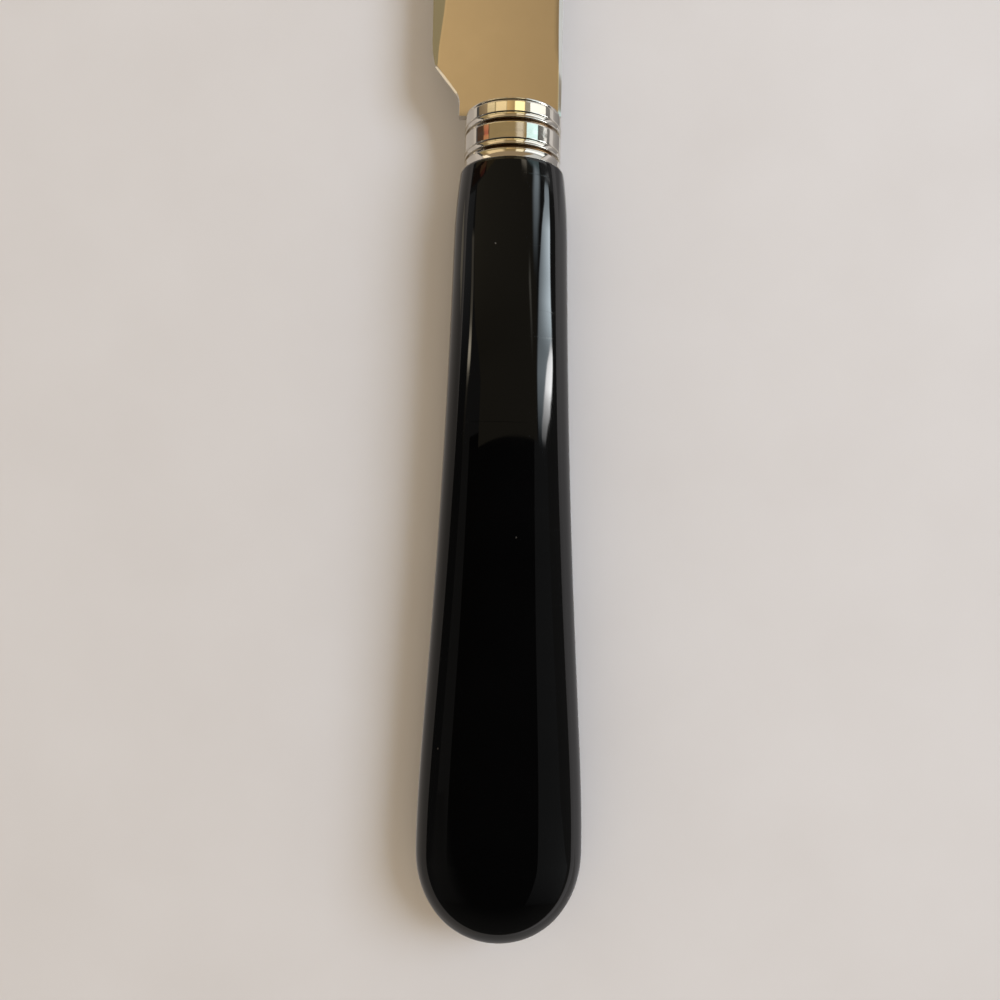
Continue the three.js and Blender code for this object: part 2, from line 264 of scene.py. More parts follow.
def add(material, kind, settings, inputs):
    """Adds a node to a material, links or fills its sockets, and returns its outputs."""
    made = material.node_tree.nodes.new(kind)
    for name, value in settings.items():
        setattr(made, name, value)
    for name, value in inputs.items():
        if isinstance(value, bpy.types.NodeSocket):
            material.node_tree.links.new(value, made.inputs[name])
        else:
            made.inputs[name].default_value = value
    return made.outputs


def bare(name):
    """A new material that has no nodes yet."""
    material = bpy.data.materials.new(name)
    material.use_nodes = True
    material.node_tree.nodes.clear()
    return material


# Mirror-polished stainless steel: a clear reflection of the room, broken only by finger marks a few
# millimetres across, by polishing lines along the blade and by a faint film of wear that shows at a low
# angle. The lines are a few hundredths of a millimetre wide on the real blade, and 0.3 mm wide here to show.
steel = bare("mirror_polished_stainless_steel")
place = add(steel, "ShaderNodeTexCoord", {}, {})["Object"]
along = add(steel, "ShaderNodeMapping", {}, {
    "Vector": place, "Scale": (1 / (0.3 * MM), 1 / (9 * MM), 1 / (0.3 * MM))})
lines = add(steel, "ShaderNodeTexNoise", {}, {"Vector": along["Vector"], "Scale": 1.0, "Detail": 3.0})
marks = add(steel, "ShaderNodeTexNoise", {}, {
    "Vector": place, "Scale": 1 / (7 * MM), "Detail": 4.0, "Roughness": 0.6})
tint = add(steel, "ShaderNodeMix", {"data_type": "RGBA"}, {
    0: marks["Fac"], 6: colour("#d2cfca"), 7: colour("#c6c2bb")})
gloss = add(steel, "ShaderNodeMapRange", {}, {
    "Value": marks["Fac"], "From Min": 0.4, "From Max": 0.75, "To Min": 0.035, "To Max": 0.085})
relief = add(steel, "ShaderNodeBump", {}, {
    "Height": lines["Fac"], "Strength": 0.12, "Distance": 0.004 * MM})
surface = add(steel, "ShaderNodeBsdfPrincipled", {}, {
    "Base Color": tint[2], "Metallic": 1.0, "Roughness": gloss[0], "Normal": relief[0], "Sheen Weight": 0.8,
    "Sheen Roughness": 0.5})
add(steel, "ShaderNodeOutputMaterial", {}, {"Surface": surface[0]})

# Ground stainless steel: the slope behind the neck is ground on a fine belt, which leaves a grain of
# a few hundredths of a millimetre, drawn 0.15 mm wide. Its colour is set whiter than steel's own, which
# paints a bright highlight along the slope.
ground_steel = bare("belt_ground_steel_painted_highlight")
place = add(ground_steel, "ShaderNodeTexCoord", {}, {})["Object"]
belt = add(ground_steel, "ShaderNodeTexNoise", {}, {
    "Vector": place, "Scale": 1 / (0.15 * MM), "Detail": 2.0})
# A colour whiter than steel has, which paints the slope's bright highlight.
tint = add(ground_steel, "ShaderNodeMix", {"data_type": "RGBA"}, {
    0: belt["Fac"], 6: colour("#fbf6ea"), 7: colour("#ece3d2")})
gloss = add(ground_steel, "ShaderNodeMapRange", {}, {
    "Value": belt["Fac"], "To Min": 0.12, "To Max": 0.24})
surface = add(ground_steel, "ShaderNodeBsdfPrincipled", {}, {
    "Base Color": tint[2], "Metallic": 1.0, "Roughness": gloss[0]})
add(ground_steel, "ShaderNodeOutputMaterial", {}, {"Surface": surface[0]})

# Forged stainless steel, pickled: the tang is left dull grey, with scale marks of about 1.5 mm.
tang_steel = bare("forged_pickled_stainless_steel")
place = add(tang_steel, "ShaderNodeTexCoord", {}, {})["Object"]
scale_marks = add(tang_steel, "ShaderNodeTexNoise", {}, {
    "Vector": place, "Scale": 1 / (1.5 * MM), "Detail": 6.0})
tint = add(tang_steel, "ShaderNodeMix", {"data_type": "RGBA"}, {
    0: scale_marks["Fac"], 6: colour("#8f8d89"), 7: colour("#6d6a66")})
gloss = add(tang_steel, "ShaderNodeMapRange", {}, {
    "Value": scale_marks["Fac"], "To Min": 0.35, "To Max": 0.6})
relief = add(tang_steel, "ShaderNodeBump", {}, {
    "Height": scale_marks["Fac"], "Strength": 0.4, "Distance": 0.03 * MM})
surface = add(tang_steel, "ShaderNodeBsdfPrincipled", {}, {
    "Base Color": tint[2], "Metallic": 1.0, "Roughness": gloss[0], "Normal": relief[0]})
add(tang_steel, "ShaderNodeOutputMaterial", {}, {"Surface": surface[0]})

blade.data.materials.append(steel)
blade.data.materials.append(tang_steel)
blade.data.materials.append(ground_steel)
for face in blade.data.polygons:
    by_slope = CHOIL_CORNER < (face.center.y - shoulder_y) / MM < HEEL_CORNER
    faces_back = face.normal.x < -0.4 and face.normal.y < -0.2
    if face.center.y < shoulder_y - WELD_DISTANCE:
        face.material_index = 1
    # The slope's faces that face back and to the left take the ground steel, whose whitened colour paints
    # their highlight.
    elif by_slope and faces_back:
        face.material_index = 2
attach(blade, "root")
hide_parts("blade")

# Ferrule end plate: thin oval plate, stamped from brass and silver plated, that closes the blade end of the
# ferrule. The tang passes through its slot and the blade's shoulders stand on it.
OVAL_SIDES = 96
END_PLATE_THICKNESS = 0.42
END_PLATE_STEP = 0.12
END_PLATE_ROUND = 0.14
END_PLATE_COVE = 0.14
END_PLATE_COVE_TOP = 0.24
FERRULE_WIDTH = 12.8
FERRULE_THICKNESS = 11.4
SLOT_HALF_HEIGHT = 0.84
SLOT_REACH = 2.44
ROUND_STEPS = 6
COVE_STEPS = 3
PICK_MARGIN = 1.2
COVE_TARNISH = 0.15
RUB_CENTRE = 0.7
RUB_START = 4.2
RUB_MOST = 0.8
ferrule_stretch = FERRULE_WIDTH / FERRULE_THICKNESS


def first_oval(name, y, half_width, half_thickness):
    """A new piece in edit mode, begun as an oval ring square to the knife's axis."""
    bpy.ops.object.select_all(action="DESELECT")
    bpy.ops.mesh.primitive_circle_add(vertices=OVAL_SIDES, radius=MM, rotation=(math.pi / 2, 0, 0))
    bpy.ops.object.transform_apply(location=True, rotation=True, scale=True)
    piece = bpy.context.object
    piece.name = piece.data.name = name
    bpy.ops.object.mode_set(mode="EDIT")
    bpy.ops.transform.resize(value=(half_width, 1, half_thickness), center_override=(0, 0, 0))
    bpy.ops.transform.translate(value=at(0, y, 0))
    return piece


def draw_out(stations):
    """Extrudes the selected oval from station to station, each a height and two half widths."""
    for (y0, width0, thickness0), (y, width, thickness) in zip(stations, stations[1:]):
        bpy.ops.mesh.extrude_region_move(TRANSFORM_OT_translate={"value": (0, (y - y0) * MM, 0)})
        growth = (width / width0, 1, thickness / thickness0)
        bpy.ops.transform.resize(value=growth, center_override=at(0, y, 0))


def spread_ends(reach):
    """Moves the right and left halves of the selected ring apart, so that a circle becomes a slot."""
    mesh = bmesh.from_edit_mesh(bpy.context.object.data)
    for vertex in mesh.verts:
        if vertex.select and abs(vertex.co.x) > WELD_DISTANCE:
            vertex.co.x += math.copysign(reach * MM, vertex.co.x)
    bmesh.update_edit_mesh(bpy.context.object.data)


plate_radius = FERRULE_THICKNESS / 2 - END_PLATE_STEP
plate_stretch = (FERRULE_WIDTH / 2 - END_PLATE_STEP) / plate_radius
end_plate = first_oval("ferrule_end_plate_stamping", 0, SLOT_HALF_HEIGHT, SLOT_HALF_HEIGHT)
rim = []
for step in range(ROUND_STEPS + 1):
    turn = math.pi / 2 * step / ROUND_STEPS
    radius = plate_radius - END_PLATE_ROUND * (1 - math.sin(turn))
    rim.append((END_PLATE_ROUND * (math.cos(turn) - 1), radius))
for step in range(COVE_STEPS + 1):
    share = step / COVE_STEPS
    y = mix(-END_PLATE_COVE_TOP, -END_PLATE_THICKNESS, share)
    rim.append((y, plate_radius - END_PLATE_COVE * share ** 2))
top_stations = [(y, radius * plate_stretch, radius) for y, radius in rim]
slot_ring = (0, SLOT_HALF_HEIGHT, SLOT_HALF_HEIGHT)
slot_bottom = (-END_PLATE_THICKNESS, SLOT_HALF_HEIGHT, SLOT_HALF_HEIGHT)
draw_out([slot_ring, *top_stations, slot_bottom, slot_ring])
bpy.ops.mesh.select_all(action="SELECT")
bpy.ops.mesh.remove_doubles(threshold=WELD_DISTANCE)
bpy.ops.mesh.select_all(action="DESELECT")
mesh = bmesh.from_edit_mesh(end_plate.data)
for vertex in mesh.verts:
    if math.hypot(vertex.co.x, vertex.co.z - axis_z) < PICK_MARGIN * SLOT_HALF_HEIGHT * MM:
        vertex.select_set(True)
mesh.select_flush_mode()
spread_ends(SLOT_REACH)
close_and_smooth(end_plate, angle=32)

# Silver plate over brass, polished: a warm white mirror with fine lines round the rings, and brown-black
# tarnish where the polishing cloth does not reach. The lines are drawn 0.12 mm wide, coarser than real ones.
silver = bare("polished_silver_plate")
place = add(silver, "ShaderNodeTexCoord", {}, {})["Object"]
around = add(silver, "ShaderNodeMapping", {}, {
    "Vector": place, "Scale": (1 / (8 * MM), 1 / (0.12 * MM), 1 / (8 * MM))})
lines = add(silver, "ShaderNodeTexNoise", {}, {"Vector": around["Vector"], "Scale": 1.0, "Detail": 2.0})
cloud = add(silver, "ShaderNodeTexNoise", {}, {"Vector": place, "Scale": 1 / (2.5 * MM), "Detail": 5.0})
depth = add(silver, "ShaderNodeAttribute", {"attribute_name": "tarnish"}, {})["Fac"]
patchy = add(silver, "ShaderNodeMath", {"operation": "MULTIPLY_ADD"}, {
    0: cloud["Fac"], 1: 0.25, 2: -0.14})
dull = add(silver, "ShaderNodeMath", {"operation": "MULTIPLY_ADD", "use_clamp": True}, {
    0: depth, 1: 1.0, 2: patchy[0]})
stain = add(silver, "ShaderNodeMath", {"operation": "MULTIPLY", "use_clamp": True}, {
    0: dull[0], 1: depth})
bright = add(silver, "ShaderNodeMix", {"data_type": "RGBA"}, {
    0: cloud["Fac"], 6: colour("#e6e2da"), 7: colour("#d8d2c6")})
tint = add(silver, "ShaderNodeMix", {"data_type": "RGBA"}, {
    0: stain[0], 6: bright[2], 7: colour("#7a5c3c")})
gloss = add(silver, "ShaderNodeMapRange", {}, {"Value": dull[0], "To Min": 0.05, "To Max": 0.4})
relief = add(silver, "ShaderNodeBump", {}, {
    "Height": lines["Fac"], "Strength": 0.15, "Distance": 0.004 * MM})
surface = add(silver, "ShaderNodeBsdfPrincipled", {}, {
    "Base Color": tint[2], "Metallic": 1.0, "Roughness": gloss[0], "Normal": relief[0]})
add(silver, "ShaderNodeOutputMaterial", {}, {"Surface": surface[0]})


def tarnish(piece, share_at):
    """Writes on each point how far tarnish has settled there, from its height and its distance off the axis.
    The narrow sides are rubbed clean."""
    layer = piece.data.attributes.new("tarnish", "FLOAT", "POINT")
    for vertex, value in zip(piece.data.vertices, layer.data):
        radius = math.hypot(vertex.co.x / ferrule_stretch, vertex.co.z - axis_z) / MM
        rubbed = min(RUB_MOST, max(0, abs(vertex.co.x / MM - RUB_CENTRE) - RUB_START))
        value.value = share_at((vertex.co.y - shoulder_y) / MM, radius) * (1 - rubbed)


tarnish(end_plate, lambda y, radius: COVE_TARNISH if y < -0.7 * END_PLATE_THICKNESS else 0.0)
end_plate.data.materials.append(silver)
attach(end_plate, "root")
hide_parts("ferrule_end_plate")

# Ferrule sleeve: drawn brass tube, rolled to its rings on a former and silver plated. From the blade end it
# has a cap ring, a bead between two grooves, a plain band, a second bead and a foot ring that flares over
# the handle.
FERRULE_WALL = 0.45
CAP_LENGTH = 1.48
FINE_GROOVE_LENGTH = 0.14
FINE_GROOVE_DEPTH = 0.1
BEAD_LENGTH = 0.57
GROOVE_LENGTH = 0.4
GROOVE_DEPTH = 0.35
BAND_LENGTH = 2.23
FOOT_LENGTH = 1.3
FOOT_FLARE = 0.3
FOOT_CURL = 1.5
CAP_TAPER = 0.016
RING_ROUND = 0.16
LIP_ROUND = 0.1
FOOT_ROUND = 0.03
RING_LIP = 0.007
BEAD_SWELL = 0.46
BEAD_RIDGE = 0.09
BEAD_CURL = 1.4
BEAD_STEPS = 8
RIDGE_STEPS = 4
GROOVE_DIP = 0.04
TARNISH_DEPTH = 0.17
TARNISH_RUN = 0.14
ferrule_radius = FERRULE_THICKNESS / 2
sleeve_bore = ferrule_radius - GROOVE_DEPTH - FERRULE_WALL


def plain_ring(profile, top, length, lip, lip_round, rise, curl):
    """A ring with both edges rounded over, which lifts to a lip and widens by its rise to the handle."""
    for step in range(ROUND_STEPS + 1):
        turn = math.pi / 2 * step / ROUND_STEPS
        radius = ferrule_radius - RING_ROUND * (1 - math.sin(turn))
        profile.append((top - RING_ROUND * (1 - math.cos(turn)), radius))
    for share in (0.03, 0.2, 0.4, 0.6, 0.8, 0.97):
        y = top - mix(RING_ROUND, length - lip_round, share)
        profile.append((y, ferrule_radius + rise * share ** curl + (lip if share > 0.9 else 0)))
    for step in range(ROUND_STEPS + 1):
        turn = math.pi / 2 * (1 - step / ROUND_STEPS)
        radius = ferrule_radius + rise + lip - lip_round * (1 - math.sin(turn))
        profile.append((top - length + lip_round * (1 - math.cos(turn)), radius))
    return top - length


def bead(profile, top):
    """A fine groove, a bead that swells to a ridge, and a deep groove."""
    profile.append((top, ferrule_radius - FINE_GROOVE_DEPTH))
    top -= FINE_GROOVE_LENGTH
    for step in range(BEAD_STEPS + 1):
        share = step / BEAD_STEPS
        radius = ferrule_radius - FINE_GROOVE_DEPTH * (1 - share ** BEAD_CURL)
        profile.append((top - BEAD_SWELL * share, radius))
    top -= BEAD_LENGTH
    for step in range(RIDGE_STEPS + 1):
        turn = math.pi / 2 * (1 - step / RIDGE_STEPS)
        radius = ferrule_radius - BEAD_RIDGE * (1 - math.sin(turn))
        profile.append((top + BEAD_RIDGE * (1 - math.cos(turn)), radius))
    for step in range(ROUND_STEPS + 1):
        turn = math.pi * step / ROUND_STEPS
        radius = ferrule_radius - GROOVE_DEPTH - GROOVE_DIP * math.sin(turn)
        profile.append((top - GROOVE_LENGTH * step / ROUND_STEPS, radius))
    return top - GROOVE_LENGTH


profile = [(-END_PLATE_THICKNESS, sleeve_bore)]
ring_top = plain_ring(profile, -END_PLATE_THICKNESS, CAP_LENGTH, 0, LIP_ROUND, CAP_TAPER, 1)
ring_top = bead(profile, ring_top)
ring_top = plain_ring(profile, ring_top, BAND_LENGTH, RING_LIP, LIP_ROUND, 0, 1)
ring_top = bead(profile, ring_top)
handle_top = plain_ring(profile, ring_top, FOOT_LENGTH, 0, FOOT_ROUND, FOOT_FLARE, FOOT_CURL)
profile += [(handle_top, sleeve_bore), profile[0]]
sleeve_stations = [(y, radius * ferrule_stretch, radius) for y, radius in profile]
sleeve = first_oval("ferrule_sleeve", *sleeve_stations[0])
draw_out(sleeve_stations)
close_and_smooth(sleeve, angle=40)
tarnish(sleeve, lambda y, radius: min(1, max(0, (ferrule_radius - TARNISH_DEPTH - radius) / TARNISH_RUN)))
sleeve.data.materials.append(silver)
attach(sleeve, "root")
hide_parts("ferrule_shell")

# Cement: resin and brick-dust cement, poured hot round the tang and inside the ferrule, where it sets hard
# and holds the knife together. Both fillings keep their solids, being cast to the shape of the room there.
# Set cement is dull and sandy, with grains of about 0.4 mm.
cement = bare("cast_resin_cement")
place = add(cement, "ShaderNodeTexCoord", {}, {})["Object"]
grains = add(cement, "ShaderNodeTexNoise", {}, {"Vector": place, "Scale": 1 / (0.4 * MM), "Detail": 6.0})
tint = add(cement, "ShaderNodeMix", {"data_type": "RGBA"}, {
    0: grains["Fac"], 6: colour("#b79d74"), 7: colour("#8a7048")})
relief = add(cement, "ShaderNodeBump", {}, {
    "Height": grains["Fac"], "Strength": 0.5, "Distance": 0.1 * MM})
surface = add(cement, "ShaderNodeBsdfPrincipled", {}, {
    "Base Color": tint[2], "Roughness": 0.9, "Normal": relief[0]})
add(cement, "ShaderNodeOutputMaterial", {}, {"Surface": surface[0]})
for name in ("ferrule_cement", "tang_cement"):
    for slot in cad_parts[name].material_slots:
        slot.material = cement

# Handle: one piece of black cast acrylic, turned and shaped to an oval that swells towards the rounded
# butt, then buffed to a high gloss. Its spigot goes up into the ferrule, and a blind slot takes the tang.
HANDLE_LENGTH = 101.5
HANDLE_THICKNESS = 12.6
GRIP_WIDTH = 14.74
BUTT_WIDTH = 22
BUTT_ROUND = 12.2
BUTT_FULLNESS = 0.945
BUTT_SOLID = 23
SHOULDER_DRAW = 0.52
SHOULDER_RUN = 9
SHOULDER_EDGE = 0.35
SWELL_FROM = 0.62
SWELL_TO = 0.83
SWELL_LEAN = 0.26
SPIGOT_RADIUS = 4.1
SPIGOT_END = -0.62
TANG_SLOT_RADIUS = 1.7
TANG_SLOT_REACH = 1.8
SWELL_STEPS = 48
SWELL_CROWDING = 1.5
BUTT_STEPS = 24
butt_end = handle_top - HANDLE_LENGTH
butt_centre = butt_end + BUTT_ROUND
slot_end = butt_end + BUTT_SOLID


def grip_station(y, half_width, inset):
    """The grip's oval at a height, drawn in near the ferrule and by the inset of its eased shoulder."""
    narrowing = SHOULDER_DRAW * max(0, 1 - (handle_top - y) / SHOULDER_RUN) ** 2
    return (y, half_width - narrowing - inset, HANDLE_THICKNESS / 2 - inset)


handle_stations = [(SPIGOT_END, SPIGOT_RADIUS * ferrule_stretch, SPIGOT_RADIUS)]
handle_stations.append((handle_top, SPIGOT_RADIUS * ferrule_stretch, SPIGOT_RADIUS))
for step in range(ROUND_STEPS + 1):
    turn = math.pi / 2 * step / ROUND_STEPS
    y = handle_top - SHOULDER_EDGE * (1 - math.cos(turn))
    handle_stations.append(grip_station(y, GRIP_WIDTH / 2, SHOULDER_EDGE * (1 - math.sin(turn))))
swell_lines = ((handle_top, GRIP_WIDTH / 2),
               (mix(handle_top, butt_centre, SWELL_FROM), mix(GRIP_WIDTH, BUTT_WIDTH, SWELL_LEAN) / 2),
               (mix(handle_top, butt_centre, SWELL_TO), BUTT_WIDTH / 2),
               (butt_centre, BUTT_WIDTH / 2))
for step in range(1, SWELL_STEPS + 1):
    share = (step / SWELL_STEPS) ** SWELL_CROWDING
    weights = ((1 - share) ** 3, 3 * share * (1 - share) ** 2, 3 * share ** 2 * (1 - share), share ** 3)
    y, half_width = [sum(w * point[i] for w, point in zip(weights, swell_lines)) for i in (0, 1)]
    if y < handle_top - SHOULDER_EDGE:
        handle_stations.append(grip_station(y, half_width, 0))
for step in range(1, BUTT_STEPS):
    turn = math.pi / 2 * step / BUTT_STEPS
    y = butt_centre - BUTT_ROUND * math.sin(turn) ** BUTT_FULLNESS
    girth = math.cos(turn) ** BUTT_FULLNESS
    handle_stations.append((y, BUTT_WIDTH / 2 * girth, HANDLE_THICKNESS / 2 * girth))
slot_stations = [(y, TANG_SLOT_RADIUS, TANG_SLOT_RADIUS) for y in (slot_end, SPIGOT_END)]
handle = first_oval("handle_turning", *slot_stations[0])
draw_out([*slot_stations, *handle_stations])
bpy.ops.mesh.merge(type="CENTER")
bpy.ops.mesh.select_all(action="DESELECT")
mesh = bmesh.from_edit_mesh(handle.data)
for vertex in mesh.verts:
    off_axis = math.hypot(vertex.co.x, vertex.co.z - axis_z)
    if off_axis < PICK_MARGIN * TANG_SLOT_RADIUS * MM and vertex.co.y > shoulder_y + (slot_end - 1) * MM:
        vertex.select_set(True)
mesh.select_flush_mode()
spread_ends(TANG_SLOT_REACH)
butt_pole = max(mesh.verts, key=lambda vertex: -vertex.co.y)
butt_pole.co = at(0, butt_end, 0)
close_and_smooth(handle, angle=32)

# Black cast acrylic, buffed: deep black under a clear gloss, with hairline scratches from use, finger marks
# some 12 mm across and a few specks of dust of about 0.3 mm.
acrylic = bare("buffed_black_acrylic")
place = add(acrylic, "ShaderNodeTexCoord", {}, {})["Object"]
marks = add(acrylic, "ShaderNodeTexNoise", {}, {
    "Vector": place, "Scale": 1 / (12 * MM), "Detail": 5.0, "Roughness": 0.6})
turned = add(acrylic, "ShaderNodeMapping", {}, {
    "Vector": place, "Rotation": (0.0, 0.0, 0.35),
    "Scale": (1 / (14 * MM), 1 / (0.35 * MM), 1 / (14 * MM))})
hairs = add(acrylic, "ShaderNodeTexNoise", {}, {"Vector": turned["Vector"], "Scale": 1.0, "Detail": 1.0})
scratch = add(acrylic, "ShaderNodeMapRange", {}, {
    "Value": hairs["Fac"], "From Min": 0.7, "From Max": 0.76})
cells = add(acrylic, "ShaderNodeTexVoronoi", {}, {"Vector": place, "Scale": 1 / (5 * MM)})
speck = add(acrylic, "ShaderNodeMapRange", {}, {
    "Value": cells["Distance"], "From Min": 0.012, "From Max": 0.028, "To Min": 1.0, "To Max": 0.0})
black = add(acrylic, "ShaderNodeMix", {"data_type": "RGBA"}, {
    0: marks["Fac"], 6: colour("#030303"), 7: colour("#060606")})
tint = add(acrylic, "ShaderNodeMix", {"data_type": "RGBA"}, {
    0: speck[0], 6: black[2], 7: colour("#5c5954")})
smear = add(acrylic, "ShaderNodeMapRange", {}, {
    "Value": marks["Fac"], "From Min": 0.45, "From Max": 0.75, "To Min": 0.025, "To Max": 0.07})
gloss = add(acrylic, "ShaderNodeMath", {"operation": "MULTIPLY_ADD"}, {
    0: scratch[0], 1: 0.12, 2: smear[0]})
relief = add(acrylic, "ShaderNodeBump", {"invert": True}, {
    "Height": scratch[0], "Strength": 0.15, "Distance": 0.005 * MM})
surface = add(acrylic, "ShaderNodeBsdfPrincipled", {}, {
    "Base Color": tint[2], "Roughness": gloss[0], "IOR": 1.49, "Normal": relief[0]})
add(acrylic, "ShaderNodeOutputMaterial", {}, {"Surface": surface[0]})
handle.data.materials.append(acrylic)
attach(handle, "root")
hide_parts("handle")

# Studio floor: a sheet of pale matt paper that the knife lies on. Its fibres show as faint clouds of about
# 20 mm.
bpy.ops.object.select_all(action="DESELECT")
bpy.ops.mesh.primitive_plane_add(size=12)
floor = bpy.context.object
floor.name = "studio_floor"
paper = bare("matt_paper")
place = add(paper, "ShaderNodeTexCoord", {}, {})["Object"]
fibres = add(paper, "ShaderNodeTexNoise", {}, {"Vector": place, "Scale": 1 / (20 * MM), "Detail": 4.0})
tint = add(paper, "ShaderNodeMix", {"data_type": "RGBA"}, {
    0: fibres["Fac"], 6: colour("#d8d6d2"), 7: colour("#d0cdc8")})
surface = add(paper, "ShaderNodeBsdfPrincipled", {}, {"Base Color": tint[2], "Roughness": 0.95})
add(paper, "ShaderNodeOutputMaterial", {}, {"Surface": surface[0]})
floor.data.materials.append(paper)

# Studio cards: a dark tent vaulted over the knife, hung with sheets that only its gloss shows. A dim ceiling
# and a warm wall stand beyond the blade, a window to the right and a slit to the left. Each sheet is a row
# of stations: a height or distance, the two edges there, and how strongly it glows at each edge.
VAULT = 1.0
TENT_END = 1.3
TENT_SIDE = 1.2
FLOOR_REACH = 0.7
NEAR_FLOOR = 0.045
KNIFE_SIDE = 0.0118
KNIFE_FRONT = -0.1162
FLOOR_LIFT = 0.0004
SHEET_STRIPS = 30


def on_vault(angle, along, lift):
    """A place on the vault, from degrees over the top from right to left and metres along the knife."""
    turn = math.radians(angle)
    return ((VAULT - lift) * math.cos(turn), along, (VAULT - lift) * math.sin(turn))


def on_floor(across, along, lift):
    """A place just above the floor."""
    return (across, along, lift)


def on_far_end(across, height, lift):
    """A place on the tent's end beyond the blade."""
    return (across, TENT_END - lift, height)


def on_near_end(across, height, lift):
    """A place on the tent's end behind the butt."""
    return (across, lift - TENT_END, height)


def sheet(name, tone, stations, lift=0.0, soft=0.0, tapered=False, skew=0.0, place=on_vault):
    """A sheet that glows in reflections and nowhere else. Soft is the share of its width over which its edges
    fade, a tapered sheet fades at both ends too, and skew slants it."""
    bpy.ops.object.select_all(action="DESELECT")
    rows = len(stations) - 1
    bpy.ops.mesh.primitive_grid_add(x_subdivisions=SHEET_STRIPS, y_subdivisions=rows, size=1)
    card = bpy.context.object
    card.name = card.data.name = name
    glow = card.data.attributes.new("glow", "FLOAT", "POINT")
    cover = card.data.attributes.new("cover", "FLOAT", "POINT")
    for vertex in card.data.vertices:
        across = vertex.co.x + 0.5
        row = (vertex.co.y + 0.5) * rows
        number = min(int(row + 0.001), rows - 1)
        near, far = stations[number], stations[number + 1]
        along, low, high, glow_low, glow_high = [mix(a, b, row - number) for a, b in zip(near, far)]
        vertex.co = place(mix(low, high, across), along + skew * (across - 0.5), lift)
        glow.data[vertex.index].value = mix(glow_low, glow_high, across)
        fade = min(1, min(across, 1 - across) / soft) if soft else 1
        at_end = row < 0.001 or row > rows - 0.001
        cover.data[vertex.index].value = 0 if tapered and at_end else fade * fade * (3 - 2 * fade)
    material = bare(name)
    levels = {level for station in stations for level in station[3:]}
    strength = levels.pop()
    if levels:
        strength = add(material, "ShaderNodeAttribute", {"attribute_name": "glow"}, {})["Fac"]
    light = add(material, "ShaderNodeEmission", {}, {"Color": colour(tone), "Strength": strength})
    if soft or tapered:
        share = add(material, "ShaderNodeAttribute", {"attribute_name": "cover"}, {})["Fac"]
        clear = add(material, "ShaderNodeBsdfTransparent", {}, {})
        light = add(material, "ShaderNodeMixShader", {}, {0: share, 1: clear[0], 2: light[0]})
    add(material, "ShaderNodeOutputMaterial", {}, {"Surface": light[0]})
    card.data.materials.append(material)
    card.visible_camera = False
    card.visible_diffuse = False
    card.visible_shadow = False
    card.visible_transmission = False


# The tent and its near end, with a black flag overhead, dark ones on both sides and a paler corner.
sheet("tent", "#f4f0ea", [(-TENT_END, 0, 180, 0.09, 0.09), (TENT_END, 0, 180, 0.09, 0.09)], lift=-0.1)
sheet("near_end", "#f4f0ea", [
    (0, -TENT_SIDE, TENT_SIDE, 0.05, 0.05), (0.5, -TENT_SIDE, TENT_SIDE, 0.035, 0.035),
    (0.9, -TENT_SIDE, TENT_SIDE, 0, 0), (TENT_SIDE, -TENT_SIDE, TENT_SIDE, 0, 0)], place=on_near_end)
sheet("overhead_flag", "#ffffff", [
    (-TENT_END, 60, 133, 0, 0), (-0.2, 52, 143, 0, 0), (0.05, 50, 147, 0, 0)], lift=0.01)
sheet("left_flag", "#ffffff", [
    (-TENT_END, 158, 180, 0.05, 0.05), (0.0, 160, 180, 0.03, 0.03), (0.15, 161, 180, 0.05, 0.05),
    (0.3, 162, 180, 0.18, 0.18), (0.45, 163, 180, 0.2, 0.2)])
sheet("right_flag", "#eceeee", [
    (-TENT_END, 6, 60, 0.07, 0.03), (-0.62, 8, 60, 0.2, 0.12), (-0.46, 24, 60, 0.13, 0.12),
    (0.05, 27, 51, 0.12, 0.12)])
sheet("left_corner", "#f4f0ea", [
    (-TENT_END, 112, 178, 0.03, 0.06), (-0.62, 122, 178, 0.06, 0.1),
    (-0.44, 142, 165, 0.06, 0.06)], lift=0.02, soft=0.4)

# The dim ceiling, seen in the upper half of the handle.
sheet("ceiling", "#ffeecb", [
    (0.035, 45, 131, 0.14, 0.14), (0.13, 45, 132, 0.14, 0.15), (0.17, 45, 138, 0.14, 0.13),
    (0.21, 45, 147, 0.14, 0.15), (0.25, 45, 152, 0.14, 0.19), (0.33, 46, 157, 0.14, 0.24),
    (0.46, 46, 160, 0.14, 0.24)], lift=0.015, skew=-0.012)
sheet("ceiling_lamp", "#f3e6cf", [
    (0.42, 61, 73, 1.2, 1.2), (0.436, 60, 75, 3, 3),
    (0.46, 60, 78, 3, 3)], lift=0.02, soft=0.3, tapered=True)
sheet("ceiling_slat", "#f0ead8", [
    (0.14, 50, 55, 0.2, 0.2), (0.2, 52, 57, 0.6, 0.6), (0.26, 55, 60, 1.2, 1.2),
    (0.31, 56, 61, 0.2, 0.2)], lift=0.02, soft=0.4, tapered=True)

# The wall's foot, seen in the ferrule's band, with coloured sheets to its left and a cream strip on it.
sheet("wall_foot", "#c9ad7c", [(0.452, 61, 118, 0.6, 0.61), (0.506, 61, 118, 0.6, 0.6)], lift=0.01)
sheet("wall_foot_left", "#c9ad7c", [
    (0.455, 118, 142, 0.61, 0.62), (0.507, 118, 142, 0.6, 0.6)], lift=0.01, skew=0.008)
sheet("amber_sheet", "#ffb57d", [
    (0.466, 142, 159, 0.62, 0.54), (0.488, 142, 157, 0.66, 0.58)], lift=0.03, soft=0.15)
sheet("russet_sheet", "#ff886b", [
    (0.452, 145, 154, 0.5, 0.4), (0.466, 143, 157, 0.6, 0.5)], lift=0.03, soft=0.15)
sheet("brown_sheet", "#c89878", [(0.46, 142, 176, 0.16, 0.14), (0.513, 142, 176, 0.16, 0.14)], lift=0.015)
